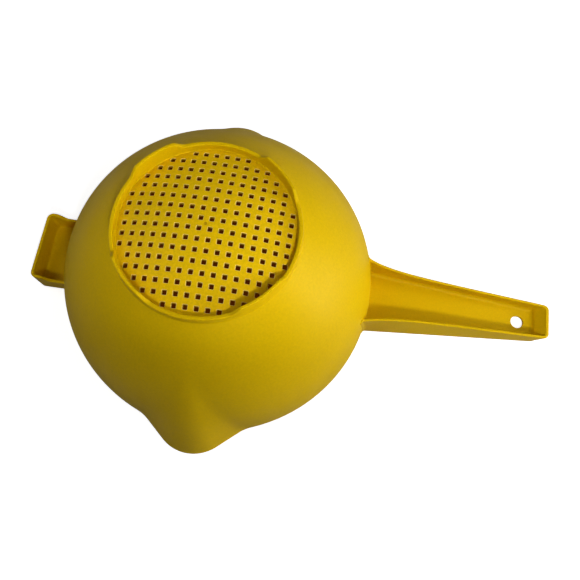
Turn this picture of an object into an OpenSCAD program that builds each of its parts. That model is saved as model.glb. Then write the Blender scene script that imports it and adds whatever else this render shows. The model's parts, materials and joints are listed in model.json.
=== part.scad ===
// Handled strainer bowl with a domed sieve base, two pour lips and a pan hook
//
// The object is one yellow injection moulding. It is split here along its
// natural boundaries, so that every region is its own solid: the bowl wall,
// the perforated plate, the ring and feet it stands on, the pour lips, and
// the walls and webs of the handle and of the hook.
//
// Frame: origin on the bowl's axis in the plane of the feet, +Z up,
// handle along +X, pour lips towards +Y and -Y, hook along -X.
// In the names, left is +Y, right is -Y, front is +X and rear is -X.

/* [Bowl] */
// Outer diameter of the rim
rim_d = 201.2; // [190:0.2:212]
// Height of the rim above the resting plane
rim_h = 93.3; // [88:0.1:100]
// Wall thickness of the bowl
bowl_wall = 2; // [1.6:0.1:2.6]
// Outer diameter where the bowl wall leaves the foot ring
bowl_foot_d = 105.2; // [104.8:0.1:107]
// Rise of the wall above level where it leaves the foot ring, in degrees
bowl_foot_angle = 37.5; // [33:0.5:42]
// Draft of the wall at the rim, away from upright, in degrees
bowl_rim_draft = 2; // [0.5:0.5:5]
// Length of the curve's pull at the foot
bowl_foot_pull = 54.3; // [40:0.1:60]
// Length of the curve's pull at the rim
bowl_rim_pull = 19; // [12:0.5:28]

/* [Sieve plate] */
// Spacing of the square holes
hole_pitch = 6; // [5:0.1:7]
// Side of one square hole
hole_side = 2.5; // [1.6:0.1:3]
// Radius of the circle that holds all hole centres
hole_field_r = 47.5; // [40:0.1:47.6]
// Plate thickness
plate_t = 2; // [1.4:0.1:2.4]
// Radius of the dome on its outer, lower face
dome_r = 141; // [130:1:170]
// Gap between the dome's lowest point and the resting plane
dome_gap = 1.4; // [1:0.1:2.5]

/* [Foot ring] */
// Inner diameter of the ring
ring_id = 99.8; // [99.4:0.1:100.4]
// Outer diameter of the ring at its lower edge
ring_od = 104.4; // [103.6:0.1:104.8]
// Height of the ring's lower edge above the resting plane
ring_gap = 5.2; // [4:0.1:6.2]
// Outer diameter of the feet at the resting plane
foot_od = 103.8; // [102.4:0.1:104.2]
// Arc that one foot stands on, in degrees
foot_arc = 28.5; // [20:0.5:40]
// Length along the ring of the slope at each end of a foot
foot_ramp = 5.5; // [2:0.1:8]

/* [Pour lips] */
// How far the lip's tip stands out past the rim
lip_out = 14.5; // [10:0.1:17]
// Radius of the rounded tip
lip_tip_r = 26; // [22:0.5:30]
// Angle between the lip's flanks and the tangent of the rim, in degrees
lip_flank = 41; // [38:1:46]
// Height above the resting plane at which the lip starts to swell out
lip_low = 22.7; // [20:0.1:32]
// How slowly the swelling grows on its way up: 1 is straight, more is hollower
lip_grow = 2; // [1.4:0.1:2.4]
// How slowly the lip widens on its way up
lip_spread = 0.7; // [0.6:0.05:1]

/* [Handle] */
// Distance from the bowl's axis to the handle's end
handle_end = 217.2; // [190:0.2:240]
// Outward lean of the end wall, from rim plane to free edge
end_lean = 5.2; // [0:0.1:8]
// Half-width of the handle on the rim plane, at the bowl
handle_half_root = 21; // [19:0.1:23]
// Half-width of the handle on the rim plane, at its end
handle_half_end = 11.4; // [10:0.1:13]
// Half-width between the free edges, at the end
edge_half_end = 11.2; // [9.8:0.1:11.6]
// Thickness of the handle's web and of the hook's
web_t = 2.2; // [1.8:0.1:2.8]
// Thickness of the side walls
side_t = 1.7; // [1.4:0.1:2.2]
// Thickness of the end wall
end_t = 2.4; // [1.8:0.1:3]
// Depth of the side walls at the handle's end
depth_end = 11.2; // [9:0.1:14]
// Extra depth of the side walls for each millimetre towards the bowl
depth_slope = 0.0885; // [0.05:0.0005:0.12]
// Corner radius at the handle's end, in plan
handle_corner = 3.6; // [2.5:0.1:5]
// Diameter of the hang hole
hang_d = 8.2; // [6:0.1:10]
// Distance from the handle's end to the hang hole's centre
hang_inset = 17.6; // [15:0.1:22]

/* [Pan hook] */
// Distance from the bowl's axis to the hook's end
hook_end = 119.4; // [114:0.2:126]
// Half-width of the hook
hook_half = 22.8; // [18:0.1:26]
// Depth of the hook's end wall
hook_depth = 18.8; // [14:0.1:22]
// Depth of the side walls beside the bowl
hook_neck = 13.2; // [10:0.1:13.8]
// Thickness of the hook's walls
hook_t = 1.9; // [1.5:0.1:2.4]
// Corner radius at the hook's end, in plan
hook_corner = 4; // [3:0.1:6]

/* [Hidden] */

yellow = [0.91, 0.76, 0.03];
mustard = [0.80, 0.66, 0.04];
amber = [0.74, 0.56, 0.02];

turn_fn = 144;                       // facets of the turned parts
dome_fn = 180;
hang_fn = 64;
cut_over = 1;                        // how far cutting solids run past a face

rim_r = rim_d / 2;
foot_r = bowl_foot_d / 2;
ring_inner_r = ring_id / 2;
ring_outer_r = ring_od / 2;
dome_c = dome_gap + dome_r;          // height of the dome's centre

// ------------------------------------------------------------ bowl outline

// The wall's inner corner lies on the dome's lower face, and that fixes the
// height at which the wall starts.
seat_r = foot_r - bowl_wall * sin(bowl_foot_angle);
seat_z = dome_c - sqrt(dome_r * dome_r - seat_r * seat_r);
foot_z = seat_z - bowl_wall * cos(bowl_foot_angle);

// Cubic curve of the bowl's outer face as [radius, z]: its ends and its pulls
foot_pt = [foot_r, foot_z];
foot_pull_pt = foot_pt + bowl_foot_pull * [cos(bowl_foot_angle), sin(bowl_foot_angle)];
rim_pt = [rim_r, rim_h];
rim_pull_pt = rim_pt - bowl_rim_pull * [sin(bowl_rim_draft), cos(bowl_rim_draft)];

// Point and direction of the curve at share 0 (foot) to 1 (rim)
function curve(share) = pow(1 - share, 3) * foot_pt
    + 3 * pow(1 - share, 2) * share * foot_pull_pt
    + 3 * (1 - share) * share * share * rim_pull_pt
    + pow(share, 3) * rim_pt;
function slope(share) = 3 * pow(1 - share, 2) * (foot_pull_pt - foot_pt)
    + 6 * (1 - share) * share * (rim_pull_pt - foot_pull_pt)
    + 3 * share * share * (rim_pt - rim_pull_pt);
function outward(share) = let (along = slope(share)) [along[1], -along[0]] / norm(along);
// Point of the inner face, kept from rising above the rim
function inner(share) =
    let (point = curve(share) - bowl_wall * outward(share))
    [point[0], min(point[1], rim_h)];

curve_n = 18;                        // segments in the bowl's curve
outer_pts = [for (i = [0:curve_n]) curve(i / curve_n)];
inner_pts = [for (i = [0:curve_n]) inner(i / curve_n)];

// --------------------------------------------------------- cutting solids

// Everything inside the bowl's outer face, and on past the rim
module bowl_body() {
    top = rim_h + cut_over;
    rotate_extrude($fn = turn_fn)
        polygon(concat([[0, foot_z]], outer_pts, [[rim_r, top], [0, top]]));
}

// Everything inside the bowl's inner face, down to the resting plane
module bowl_space() {
    rotate_extrude($fn = turn_fn)
        polygon(concat([[0, 0], [seat_r, 0]], inner_pts, [[0, rim_h]]));
}

// Ball whose lowest part is the dome's lower face, raised by rise
module dome_ball(rise = 0) {
    translate([0, 0, dome_c]) sphere(r = dome_r - rise, $fn = dome_fn);
}

// Box that picks out the part of a wall between two x and two y
module pick_box(x_low, x_high, y_low, y_high) {
    low = 40;
    height = 60;
    translate([x_low, y_low, low]) cube([x_high - x_low, y_high - y_low, height]);
}
side_pick_x = 60;                    // side wall boxes start at this distance from the axis
side_pick_y = 60;
end_pick_y = 40;
handle_end_pick = 60;                // length of the end wall boxes
hook_end_pick = 40;

// -------------------------------------------------------------- pour lips

lip_levels = 14;
lip_level_power = 0.85;              // spacing of the levels: 1 is even
lip_steps = 11;                      // steps from the lip's middle to its side
lip_reach = 1.25;                    // outline's half-angle as a share of the lip's
lip_bite = 0.25;                     // the shape starts this far under the wall's face
lip_back = 0.85;                     // rear point's radius as a share of the face's
lip_hollow_over = 5;                 // how far the hollow runs on above the rim
lip_c = rim_r + lip_out - lip_tip_r; // distance of the tip's centre from the axis

// Distance of the flanks from the axis, for a given tip radius
function flank_r(tip_r) = lip_c * cos(lip_flank) + tip_r;
// Angle from the lip's middle to where a flank meets the rim
lip_half = lip_flank - acos(flank_r(lip_tip_r) / rim_r);

// Distance of the outline from the axis at the rim, in the direction angle
// away from the lip's middle: the round tip, or the flank beside it
function lip_plan(angle, tip_r) =
    let (across = sin(abs(angle)),
         tip = lip_c * cos(angle) + sqrt(max(tip_r * tip_r - pow(lip_c * across, 2), 0)))
    abs(tip * across) <= tip_r * sin(lip_flank) && tip_r > lip_c * across
        ? tip : flank_r(tip_r) / cos(abs(angle) - lip_flank);

// Solid that swells out of a face of the bowl towards +Y, shrunk by wall
// and run on to the height over above the rim. Every level is one flat
// outline with a point behind it.
module lip_body(face_pts, wall = 0, over = 0) {
    face = [for (point = face_pts) [point[1], point[0]]];
    // [share of the full swelling, z] of each level
    levels = concat(
        [for (k = [1:lip_levels])
            let (share = pow(k / lip_levels, lip_level_power))
            [share, lip_low + (rim_h - lip_low) * share]],
        over > 0 ? [[1, rim_h + over]] : []);
    n = 2 * lip_steps + 2;
    m = len(levels);
    pts = [for (level = levels)
        let (share = level[0],
             z = level[1],
             base = lookup(min(z, rim_h), face))
        for (i = [0:n - 1])
            let (rim_angle = lip_reach * lip_half * (i - lip_steps) / lip_steps,
                 angle = rim_angle * pow(share, lip_spread),
                 swell = pow(share, lip_grow)
                     * (lip_plan(rim_angle, lip_tip_r - wall) - rim_r + wall),
                 radius = base + swell - lip_bite * (1 - share))
            i < n - 1 ? [radius * sin(angle), radius * cos(angle), z]
                      : [0, base * lip_back, z]];
    sides = [for (k = [0:m - 2], i = [0:n - 1], half = [0:1])
        let (a = k * n + i, b = k * n + (i + 1) % n, c = a + n, d = b + n)
        half == 0 ? [a, b, d] : [a, d, c]];
    caps = [for (i = [0:n - 3], end = [0:1])
        end == 0 ? [n - 1, i + 1, i] : [m * n - 1, (m - 1) * n + i, (m - 1) * n + i + 1]];
    polyhedron(points = pts, faces = concat(sides, caps), convexity = 6);
}
module lip_hollow() { lip_body(inner_pts, bowl_wall, lip_hollow_over); }

module pour_lip() {
    color(yellow)
    difference() {
        lip_body(outer_pts);
        lip_hollow();
        bowl_body();
    }
}
module pour_lip_left() { pour_lip(); }
module pour_lip_right() { mirror([0, 1, 0]) pour_lip(); }

// --------------------------------------------------------- bowl and plate

module bowl_shell() {
    color(yellow)
    difference() {
        rotate_extrude($fn = turn_fn)
            polygon(concat(outer_pts, [for (i = [curve_n:-1:0]) inner_pts[i]]));
        lip_hollow();
        mirror([0, 1, 0]) lip_hollow();
    }
}

module sieve_plate() {
    cut_h = 20;                      // height of the hole cutters
    n = floor(hole_field_r / hole_pitch);
    color(mustard)
    difference() {
        intersection() {
            difference() {
                dome_ball();
                dome_ball(plate_t);
            }
            bowl_space();
        }
        for (i = [-n - 1:n], j = [-n - 1:n])
            let (x = (i + 0.5) * hole_pitch, y = (j + 0.5) * hole_pitch)
            if (norm([x, y]) <= hole_field_r)
                translate([x - hole_side / 2, y - hole_side / 2, 0])
                    cube([hole_side, hole_side, cut_h]);
    }
}

// ---------------------------------------------------------- ring and feet

// The ring is made too tall, and the dome cuts it to height
module foot_ring() {
    top = seat_z + 2;
    color(yellow)
    difference() {
        rotate_extrude($fn = turn_fn)
            polygon([[ring_inner_r, ring_gap], [ring_outer_r, ring_gap], [foot_r, foot_z],
                     [seat_r, seat_z], [seat_r, top], [ring_inner_r, top]]);
        dome_ball();
    }
}

// A piece of ring, cut to a trapezium as seen along the radius
module foot(angle) {
    half_chord = ring_inner_r * sin(foot_arc / 2);
    half_top = half_chord + foot_ramp;
    inner_draft = 0.2;               // step out of the inner face at the resting plane
    reach = 8;                       // the trapezium's reach each way from the ring
    color(yellow)
    rotate([0, 0, angle])
    intersection() {
        rotate_extrude($fn = turn_fn)
            polygon([[ring_inner_r + inner_draft, 0], [foot_od / 2, 0],
                     [ring_outer_r, ring_gap], [ring_inner_r, ring_gap]]);
        translate([ring_inner_r - reach, 0, 0]) rotate([90, 0, 90])
            linear_extrude(2 * reach)
                polygon([[-half_chord, 0], [half_chord, 0],
                         [half_top, ring_gap], [-half_top, ring_gap]]);
    }
}
module foot_front_left() { foot(45); }
module foot_front_right() { foot(-45); }
module foot_rear_left() { foot(135); }
module foot_rear_right() { foot(-135); }

// ------------------------------------------------- walls along a plan path

path_x = 88;                         // paths start here, inside the bowl

// Evenly spaced x from the start of a path to x_last
function stations(x_last, count) =
    [for (i = [0:count]) path_x + (x_last - path_x) * i / count];

// U-shaped plan path: the side at +Y as a list of [x, half-width], the
// corner of that radius, and the same again mirrored
function u_path(side, x_end, radius) =
    let (half_width = side[len(side) - 1][1],
         bend = [for (a = [75:-15:0])
             [x_end - radius + radius * cos(a), half_width - radius + radius * sin(a)]],
         half = concat(side, bend))
    concat(half, [for (i = [len(half) - 1:-1:0]) [half[i][0], -half[i][1]]]);

// Outward normal of a path at point i
function path_normal(path, i) =
    let (along = path[min(i + 1, len(path) - 1)] - path[max(i - 1, 0)])
    [-along[1], along[0]] / norm(along);
function inset(path, thick) =
    [for (i = [0:len(path) - 1]) path[i] - path_normal(path, i) * thick[i]];
function at_heights(path, heights) =
    [for (i = [0:len(path) - 1]) [path[i][0], path[i][1], heights[i]]];

// Wall that hangs from the underside of a web. It follows the path root
// there and the path edge at the heights edge_z. Both paths have the same
// number of points; thick is the thickness at each point, inwards.
module lean_wall(root, edge, edge_z, thick) {
    n = len(root);
    root_z = [for (point = root) rim_h - web_t];
    pts = concat(at_heights(root, root_z), at_heights(edge, edge_z),
                 at_heights(inset(edge, thick), edge_z), at_heights(inset(root, thick), root_z));
    sides = [for (k = [0:3], i = [0:n - 2], half = [0:1])
        let (a = k * n + i, b = a + 1, c = ((k + 1) % 4) * n + i, d = c + 1)
        half == 0 ? [a, d, b] : [a, c, d]];
    ends = [[0, 2 * n, n], [0, 3 * n, 2 * n],
            [n - 1, 2 * n - 1, 3 * n - 1], [n - 1, 3 * n - 1, 4 * n - 1]];
    polyhedron(points = pts, faces = concat(sides, ends), convexity = 6);
}

module web_slab(path) {
    translate([0, 0, rim_h - web_t]) linear_extrude(web_t) polygon(path);
}

// ----------------------------------------------------------------- handle

handle_n = 12;                       // segments along each side
edge_taper = 0.045;                  // extra half-width of the edges per mm from the end
edge_flare = 3.6;                    // extra half-width of the edges at the rim
edge_flare_run = 16;                 // length over which that flare fades
edge_over = 1;                       // most that an edge may stand out past the root
depth_flare = 0.8;                   // extra depth at the rim
depth_flare_run = 6;                 // length over which that depth fades
depth_max = 34;
end_t_share = 0.9;                   // share of the corner that has the end's thickness

root_end = handle_end - end_lean;    // handle's end on the rim plane
handle_split = root_end - handle_corner; // side walls stop here

// Half-width on the rim plane: a straight taper
function root_half(x) = handle_half_root
    + (handle_half_end - handle_half_root) * (x - rim_r) / (root_end - rim_r);
// Half-width between the free edges: flared near the bowl
function edge_half(x) = min(root_half(x) + edge_over,
    edge_half_end + edge_taper * (handle_end - x)
    + edge_flare * exp(-(x - rim_r) / edge_flare_run));
// Depth of the walls below the rim plane: flared near the bowl
function handle_depth(x) = min(depth_max,
    depth_end + depth_slope * (handle_end - x)
    + depth_flare * exp(-(x - rim_r) / depth_flare_run));

handle_root = u_path([for (x = stations(handle_split, handle_n)) [x, root_half(x)]],
                     root_end, handle_corner);
handle_edge = u_path([for (x = stations(handle_end - handle_corner, handle_n))
                         [x, edge_half(x)]],
                     handle_end, handle_corner);
handle_edge_z = [for (point = handle_edge) rim_h - handle_depth(point[0])];
handle_thick = [for (point = handle_edge)
    point[0] > handle_end - handle_corner * end_t_share ? end_t : side_t];

module handle_walls() {
    difference() {
        lean_wall(handle_root, handle_edge, handle_edge_z, handle_thick);
        bowl_body();
    }
}
module handle_side() {
    color(amber)
    intersection() {
        handle_walls();
        pick_box(side_pick_x, handle_split, 0, side_pick_y);
    }
}
module handle_wall_left() { handle_side(); }
module handle_wall_right() { mirror([0, 1, 0]) handle_side(); }
module handle_end_wall() {
    color(amber)
    intersection() {
        handle_walls();
        pick_box(handle_split, handle_split + handle_end_pick, -end_pick_y, end_pick_y);
    }
}
module handle_web() {
    color(amber)
    difference() {
        web_slab(handle_root);
        bowl_body();
        translate([handle_end - hang_inset, 0, rim_h - web_t - cut_over])
            cylinder(d = hang_d, h = web_t + 2 * cut_over, $fn = hang_fn);
    }
}

// ------------------------------------------------------------------- hook
// Paths are laid out along +X and mirrored.

hook_n = 16;                         // segments along each side
deepen_inset = 12.4;                 // the sides start to deepen this far from the end
deepen_run = 6.8;                    // length over which they deepen
hook_split = hook_end - hook_corner; // side walls stop here

// Smooth step from 0 to 1
function ease(share) = let (v = min(max(share, 0), 1)) v * v * (3 - 2 * v);
// Depth of the walls: shallow at the bowl, full depth at the end
function hook_wall_depth(x) = hook_neck
    + (hook_depth - hook_neck) * ease((x - (hook_end - deepen_inset)) / deepen_run);

hook_path = u_path([for (x = stations(hook_split, hook_n)) [x, hook_half]],
                   hook_end, hook_corner);
hook_edge_z = [for (point = hook_path) rim_h - hook_wall_depth(point[0])];
hook_thick = [for (point = hook_path) hook_t];

module hook_walls() {
    difference() {
        mirror([1, 0, 0]) lean_wall(hook_path, hook_path, hook_edge_z, hook_thick);
        bowl_body();
    }
}
module hook_side() {
    color(amber)
    intersection() {
        hook_walls();
        pick_box(-hook_split, -side_pick_x, 0, side_pick_y);
    }
}
module hook_wall_left() { hook_side(); }
module hook_wall_right() { mirror([0, 1, 0]) hook_side(); }
module hook_end_wall() {
    color(amber)
    intersection() {
        hook_walls();
        pick_box(-hook_split - hook_end_pick, -hook_split, -end_pick_y, end_pick_y);
    }
}
module hook_web() {
    color(amber)
    difference() {
        mirror([1, 0, 0]) web_slab(hook_path);
        bowl_body();
    }
}

bowl_shell();
sieve_plate();
foot_ring();
foot_front_left();
foot_front_right();
foot_rear_left();
foot_rear_right();
pour_lip_left();
pour_lip_right();
handle_web();
handle_wall_left();
handle_wall_right();
handle_end_wall();
hook_web();
hook_wall_left();
hook_wall_right();
hook_end_wall();
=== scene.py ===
import json
import math

import bmesh
import bpy
import numpy as np
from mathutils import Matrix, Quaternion, Vector
from mathutils.geometry import delaunay_2d_cdt


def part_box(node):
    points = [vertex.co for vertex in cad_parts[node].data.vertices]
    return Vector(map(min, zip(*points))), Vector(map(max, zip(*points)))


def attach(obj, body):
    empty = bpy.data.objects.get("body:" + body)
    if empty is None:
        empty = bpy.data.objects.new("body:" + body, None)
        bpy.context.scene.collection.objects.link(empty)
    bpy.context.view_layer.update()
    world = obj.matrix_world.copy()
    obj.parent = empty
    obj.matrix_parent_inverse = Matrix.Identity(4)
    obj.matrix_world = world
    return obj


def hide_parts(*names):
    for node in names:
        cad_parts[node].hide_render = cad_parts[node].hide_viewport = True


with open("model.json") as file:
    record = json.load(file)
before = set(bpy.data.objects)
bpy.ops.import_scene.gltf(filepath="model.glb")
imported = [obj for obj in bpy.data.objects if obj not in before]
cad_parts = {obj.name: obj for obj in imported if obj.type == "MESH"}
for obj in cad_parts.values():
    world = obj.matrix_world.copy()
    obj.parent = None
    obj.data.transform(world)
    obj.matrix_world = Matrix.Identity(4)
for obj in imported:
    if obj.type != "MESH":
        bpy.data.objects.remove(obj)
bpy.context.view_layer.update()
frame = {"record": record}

MM = 0.001


# ------------------------------------------------------------------ the frame
# All lengths below are in millimetres, in the row frame. They start from the
# CAD nodes' boxes and the record's mounts.
def box_mm(node):
    lo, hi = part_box(node)
    return np.array(lo) * 1000.0, np.array(hi) * 1000.0


bowl_lo, bowl_hi = box_mm("bowl_shell")
plate_lo, plate_hi = box_mm("sieve_plate")
ring_lo, ring_hi = box_mm("foot_ring")
foot_lo, foot_hi = box_mm("foot_front_left")
lip_lo, lip_hi = box_mm("pour_lip_left")
end_lo, end_hi = box_mm("handle_end_wall")
hside_lo, hside_hi = box_mm("handle_wall_left")
hook_lo, hook_hi = box_mm("hook_end_wall")

hang = [0.1996, 0.0, 0.0922]
for m in frame["record"].get("mounts", []):
    if m.get("name") == "hang_hole":
        if "pos_m" in m:
            hang = list(m["pos_m"])

H = float(bowl_hi[2])                # rim plane
R = float(bowl_hi[0])                # rim radius
RIM_DRAFT = math.radians(2.0)
FOOT_ANG = math.radians(37.5)
FOOT_R = float(ring_hi[0])           # radius where the bowl leaves the ring
WALL = 2.0
DOME_R = 141.0
DOME_GAP = float(plate_lo[2])
DOME_C = DOME_GAP + DOME_R
PLATE_T = 2.0
RING_RI = 49.9
RING_RO = 52.2
RING_Z = float(ring_lo[2])           # lower edge of the ring
LIP_REACH = float(lip_hi[1])
LIP_R = 26.0
LIP_ANG = math.radians(41.0)
LIP_LOW = 22.7                       # height at which the lips start to swell out
WEB_T = 2.2
TOP_GAP = 0.22                       # the webs' top face sits this far under the rim


def dome_low(r):
    return DOME_C - np.sqrt(DOME_R**2 - np.asarray(r) ** 2)


def dome_up(r):
    return DOME_C - np.sqrt((DOME_R - PLATE_T) ** 2 - np.asarray(r) ** 2)


SEAT_R = FOOT_R - WALL * math.sin(FOOT_ANG)
SEAT_Z = float(dome_low(SEAT_R))
FOOT_Z = SEAT_Z - WALL * math.cos(FOOT_ANG)

P0 = np.array([FOOT_R, FOOT_Z])
P1 = P0 + 54.3 * np.array([math.cos(FOOT_ANG), math.sin(FOOT_ANG)])
P3 = np.array([R, H])
P2 = P3 - 19.0 * np.array([math.sin(RIM_DRAFT), math.cos(RIM_DRAFT)])


def curve(t):
    t = np.asarray(t, float)[..., None]
    return (1 - t) ** 3 * P0 + 3 * (1 - t) ** 2 * t * P1 + 3 * (1 - t) * t * t * P2 + t**3 * P3


def outward(t):
    t = np.asarray(t, float)[..., None]
    d = 3 * (1 - t) ** 2 * (P1 - P0) + 6 * (1 - t) * t * (P2 - P1) + 3 * t * t * (P3 - P2)
    d = d / np.linalg.norm(d, axis=-1, keepdims=True)
    return np.stack([d[..., 1], -d[..., 0]], -1)


def inner(t):
    return curve(t) - WALL * outward(t)


_tt = np.linspace(0, 1, 2001)
_cc = curve(_tt)
_ci = inner(_tt)


def rb(z):
    """Radius of the bowl's outer face at height z."""
    return np.interp(z, _cc[:, 1], _cc[:, 0])


def rb_in(z):
    return np.interp(z, _ci[:, 1], _ci[:, 0])


def smax(a, b, w):
    h = np.clip(1 - np.abs(a - b) / w, 0, 1)
    return np.maximum(a, b) + h * h * w / 4


def smooth01(u):
    v = np.clip(u, 0, 1)
    return v * v * (3 - 2 * v)


# ------------------------------------------------------------------ mesh tools
def make_object(name, verts, faces, mats, mat_index=None):
    me = bpy.data.meshes.new(name)
    me.from_pydata([tuple(v) for v in np.asarray(verts) * MM], [], faces)
    me.validate(clean_customdata=False)
    me.update()
    me.polygons.foreach_set("use_smooth", [True] * len(me.polygons))
    for m in mats:
        me.materials.append(m)
    if mat_index is not None:
        me.polygons.foreach_set("material_index", mat_index)
    tidy(me)
    o = bpy.data.objects.new(name, me)
    bpy.context.scene.collection.objects.link(o)
    return o


def tidy(me):
    """Drops the flat slivers that a triangulation leaves on a straight edge, and turns every face outwards."""
    bm = bmesh.new()
    bm.from_mesh(me)
    while True:
        bad = []
        for f in bm.faces:
            used = [len(e.link_faces) for e in f.edges]
            if min(used) == 1 and max(used) > 2:
                bad.append(f)
        if not bad:
            break
        bmesh.ops.delete(bm, geom=bad, context="FACES")
    bmesh.ops.recalc_face_normals(bm, faces=bm.faces[:])
    bm.to_mesh(me)
    bm.free()
    me.update()


def fix_winding(verts, faces):
    """Faces as they are, or all flipped, so that the closed mesh's volume is positive."""
    v = np.asarray(verts, float)
    vol = 0.0
    for f in faces:
        a = v[f[0]]
        for i in range(1, len(f) - 1):
            vol += np.dot(a, np.cross(v[f[i]], v[f[i + 1]]))
    if vol < 0:
        return [tuple(reversed(f)) for f in faces]
    return faces


def torus_faces(nu, nv):
    """Quads of a grid that is closed both ways. Index = iu * nv + iv."""
    f = []
    for i in range(nu):
        a, b = i * nv, ((i + 1) % nu) * nv
        for j in range(nv):
            k = (j + 1) % nv
            f.append((a + j, b + j, b + k, a + k))
    return f


def cap_faces(outer, holes, steiner=()):
    """Triangles of the flat region between an outer loop and hole loops (2-D points), with extra points inside.
    Returns (points, triangles); the first points are outer, then each hole, then steiner."""
    pts, edges = [], []
    loops = [list(map(tuple, outer))] + [list(map(tuple, h)) for h in holes]
    for lp in loops:
        s = len(pts)
        pts += lp
        edges += [(s + i, s + (i + 1) % len(lp)) for i in range(len(lp))]
    pts += [tuple(p) for p in steiner]
    res = delaunay_2d_cdt([Vector(p) for p in pts], edges, [], 0, 1e-7)
    out_v, out_f, orig_v = res[0], res[2], res[3]
    # every input point must come back once, in an order we can map
    back = {}
    for i, src in enumerate(orig_v):
        for q in src:
            back[q] = i
    fwd = [None] * len(out_v)
    for q, i in back.items():
        if fwd[i] is None:
            fwd[i] = q
    xy = np.array([[v[0], v[1]] for v in out_v])
    tri = np.array([list(f) for f in out_f])
    c = xy[tri].mean(1)
    keep = inside_loop(c, np.array(loops[0]))
    for h in loops[1:]:
        keep &= ~inside_loop(c, np.array(h))
    tri = tri[keep]
    mapped = [[fwd[i] for i in t] for t in tri]
    if any(i is None for t in mapped for i in t):
        raise RuntimeError("the triangulation made a new point")
    return np.array(pts), mapped


def inside_loop(p, loop):
    """Even-odd test of many points against one loop."""
    lo, hi = loop.min(0), loop.max(0)
    inside = np.zeros(len(p), bool)
    near = np.where(((p >= lo) & (p <= hi)).all(1))[0]
    if len(near) == 0:
        return inside
    q = p[near]
    a, b = loop, np.roll(loop, -1, 0)
    r = np.zeros(len(q), bool)
    for (x1, y1), (x2, y2) in zip(a, b):
        cond = (y1 > q[:, 1]) != (y2 > q[:, 1])
        if cond.any():
            xi = (x2 - x1) * (q[:, 1] - y1) / (y2 - y1 + 1e-30) + x1
            r ^= cond & (q[:, 0] < xi)
    inside[near] = r
    return inside


def arc(c, r, a0, a1, n):
    """n+1 points on an arc in the (r, z) plane, angles in degrees."""
    a = np.radians(np.linspace(a0, a1, n + 1))
    return np.stack([c[0] + r * np.cos(a), c[1] + r * np.sin(a)], -1)


# ------------------------------------------------------------------ materials
def new_mat(name):
    m = bpy.data.materials.new(name)
    m.use_nodes = True
    nt = m.node_tree
    for n in list(nt.nodes):
        nt.nodes.remove(n)
    return m, nt


def node(nt, kind, loc=(0, 0), **vals):
    n = nt.nodes.new(kind)
    n.location = loc
    for k, v in vals.items():
        if k in n.inputs.keys():
            n.inputs[k].default_value = v
        else:
            setattr(n, k, v)
    return n


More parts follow.
